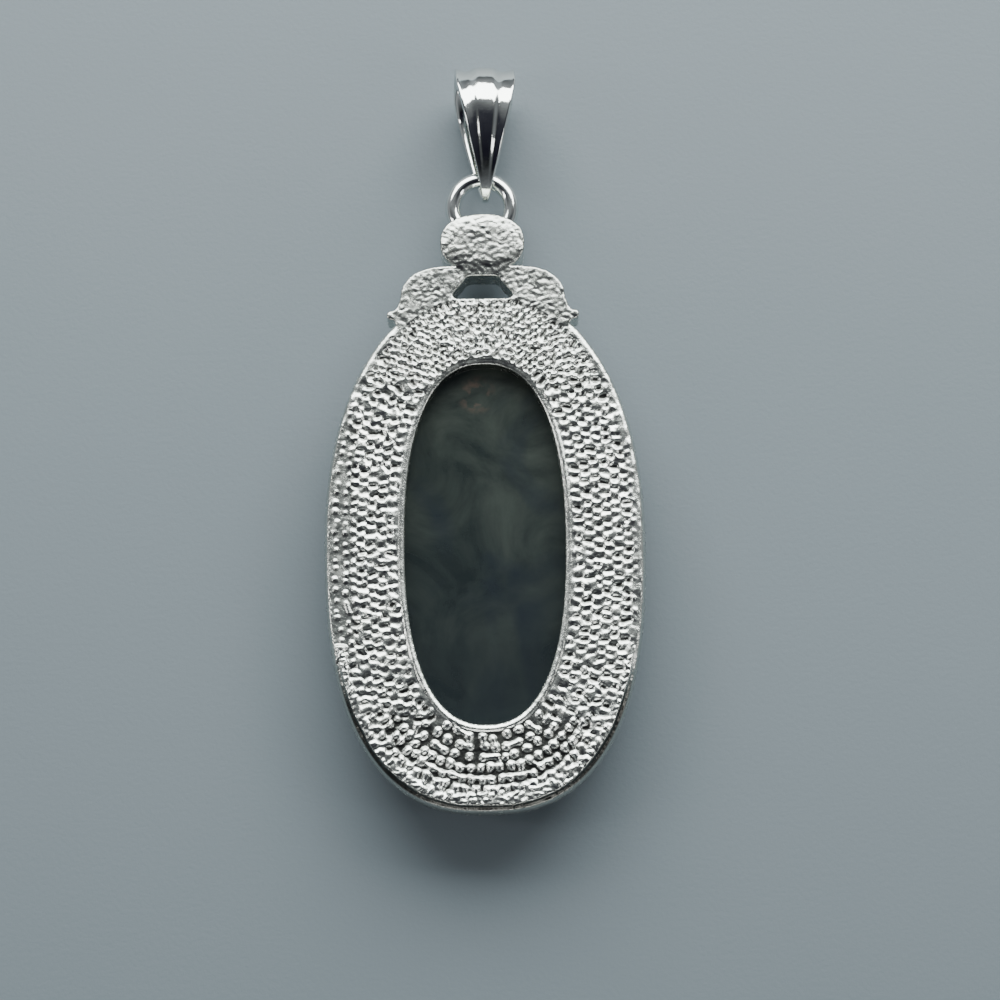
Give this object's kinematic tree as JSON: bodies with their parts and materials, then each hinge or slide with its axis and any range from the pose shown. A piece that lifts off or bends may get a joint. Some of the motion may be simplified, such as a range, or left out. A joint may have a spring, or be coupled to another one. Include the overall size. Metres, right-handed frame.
{
  "type": "labradorite pendant",
  "caption": "Long oval labradorite pendant lying face down: granulated silver-coloured back with an open window on the stone, a wire ring and a fluted bail.",
  "frame": {"origin": "middle of the pendant's overall box, on the surface that it lies on face down", "axes": "+Z is the pendant's back, facing up; +Y runs along the pendant towards the bail; +X is to the right seen from the back"},
  "size_m": [0.0272, 0.0658, 0.0074],
  "materials": {
    "cast_silver": "satin",
    "bright_silver": "polished",
    "labradorite": "gloss"
  },
  "bodies": {
    "root": {"setting": "cast_silver", "labradorite": "labradorite", "jump_ring": "bright_silver", "bail": "bright_silver"}
  },
  "joints": []
}
